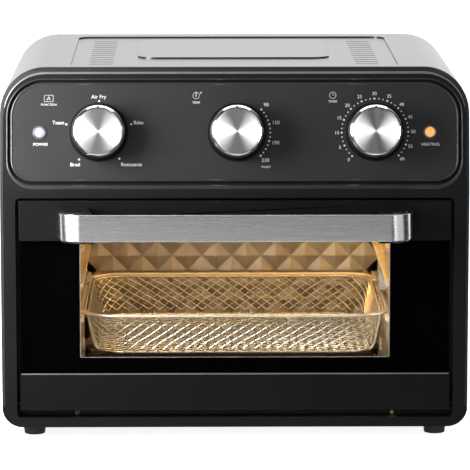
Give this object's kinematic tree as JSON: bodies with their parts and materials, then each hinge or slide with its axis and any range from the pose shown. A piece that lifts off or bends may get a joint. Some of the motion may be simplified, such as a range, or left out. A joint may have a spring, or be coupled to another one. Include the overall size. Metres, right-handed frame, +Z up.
{
  "type": "air fryer oven",
  "caption": "Countertop air fryer oven with a bottom-hinged glass door, bent metal handle, three turning knobs, indicator lamps, wire basket and crumb tray.",
  "frame": {"origin": "middle of the overall box in plan, on the surface that the feet stand on", "axes": "+X to the right seen from the front, -Y towards the user, +Z up"},
  "size_m": [0.39, 0.332, 0.311],
  "materials": {
    "frame_plastic": "satin",
    "panel_plastic": "satin",
    "shell_paint": "gloss",
    "dark_sheet": "satin",
    "foot_rubber": "matte",
    "screw_steel": "satin",
    "black_enamel": "gloss",
    "cavity_steel": "satin",
    "element_steel": "matte",
    "ceramic": "matte",
    "motor_steel": "satin",
    "bulb_glass": "gloss",
    "switch_plastic": "matte",
    "nut_brass": "satin",
    "power_lens": "gloss",
    "heating_lens": "gloss",
    "ring_plastic": "gloss",
    "rail_paint": "satin",
    "door_glass": "gloss",
    "liner_steel": "satin",
    "seal_silicone": "matte",
    "handle_steel": "satin",
    "gloss_black": "gloss",
    "basket_wire": "gloss",
    "tray_enamel": "satin",
    "knob_plastic": "satin",
    "cap_metal": "brushed",
    "fan_aluminium": "satin"
  },
  "bodies": {
    "case": {"front_frame": "frame_plastic", "control_panel": "panel_plastic", "outer_shell": "shell_paint", "back_panel": "dark_sheet", "base_pan": "dark_sheet", "rubber_feet": "foot_rubber", "case_screws": "screw_steel", "cavity_front_flange": "black_enamel", "cavity_wall_left": "cavity_steel", "cavity_wall_right": "cavity_steel", "cavity_back": "cavity_steel", "cavity_ceiling": "cavity_steel", "cavity_floor": "cavity_steel", "upper_elements": "element_steel", "lower_elements": "element_steel", "element_bushes": "ceramic", "fan_guard": "cavity_steel", "fan_housing": "cavity_steel", "fan_motor": "motor_steel", "lamp_housing": "motor_steel", "oven_lamp": "bulb_glass", "lamp_cover": "bulb_glass", "function_switch": "switch_plastic", "thermostat": "switch_plastic", "timer": "switch_plastic", "switch_nuts": "nut_brass", "power_lamp": "power_lens", "heating_lamp": "heating_lens", "lamp_rings": "ring_plastic", "rotisserie_motor": "motor_steel", "rotisserie_bearing": "screw_steel", "terminal_block": "switch_plastic", "cord_gland": "foot_rubber", "hinge_pins": "rail_paint"},
    "door": {"door_top_rail": "rail_paint", "door_bottom_rail": "rail_paint", "door_glass": "door_glass", "door_inner_frame": "liner_steel", "door_seal": "seal_silicone", "door_arms": "liner_steel", "handle_bar": "handle_steel", "handle_mounts": "gloss_black", "handle_screws": "screw_steel"},
    "basket": {"basket_mesh": "basket_wire", "basket_rim": "basket_wire"},
    "tray": {"crumb_tray": "tray_enamel", "tray_pull": "gloss_black"},
    "function_dial": {"function_knob": "knob_plastic", "function_cap": "cap_metal", "function_shaft": "screw_steel"},
    "temperature_dial": {"temperature_knob": "knob_plastic", "temperature_cap": "cap_metal", "temperature_shaft": "screw_steel"},
    "timer_dial": {"timer_knob": "knob_plastic", "timer_cap": "cap_metal", "timer_shaft": "screw_steel"},
    "fan": {"fan_blade": "fan_aluminium", "fan_shaft": "screw_steel", "cooling_fan": "fan_aluminium"},
    "spit_drive": {"rotisserie_socket": "screw_steel"}
  },
  "joints": [
    {"name": "door_hinge", "type": "hinge", "parent": "case", "child": "door", "pos_m": [0, -0.122, 0.0292], "axis": [1, 0, 0], "range_deg": [0, 80]},
    {"name": "basket_slide", "type": "slide", "parent": "case", "child": "basket", "axis": [0, -1, 0], "range_m": [0, 0.063]},
    {"name": "tray_slide", "type": "slide", "parent": "case", "child": "tray", "axis": [0, -1, 0], "range_m": [0, 0.12]},
    {"name": "function_turn", "type": "hinge", "parent": "case", "child": "function_dial", "pos_m": [-0.1129, -0.1196, 0.25766], "axis": [0, 0.9848, -0.1736], "range_deg": [-144, 144]},
    {"name": "temperature_turn", "type": "hinge", "parent": "case", "child": "temperature_dial", "pos_m": [0.0017, -0.1196, 0.25766], "axis": [0, 0.9848, -0.1736], "range_deg": [0, 135]},
    {"name": "timer_turn", "type": "hinge", "parent": "case", "child": "timer_dial", "pos_m": [0.1163, -0.1196, 0.25766], "axis": [0, 0.9848, -0.1736], "range_deg": [-136, 136]},
    {"name": "fan_spin", "type": "hinge", "parent": "case", "child": "fan", "pos_m": [0, 0.012, 0.23], "axis": [0, 0, 1], "continuous": true},
    {"name": "spit_spin", "type": "hinge", "parent": "case", "child": "spit_drive", "pos_m": [-0.141, 0.012, 0.113], "axis": [1, 0, 0], "continuous": true}
  ],
  "couplings": [
    {"joint": "basket_slide", "follows": "door_hinge", "m_per_rad": 0.045}
  ]
}
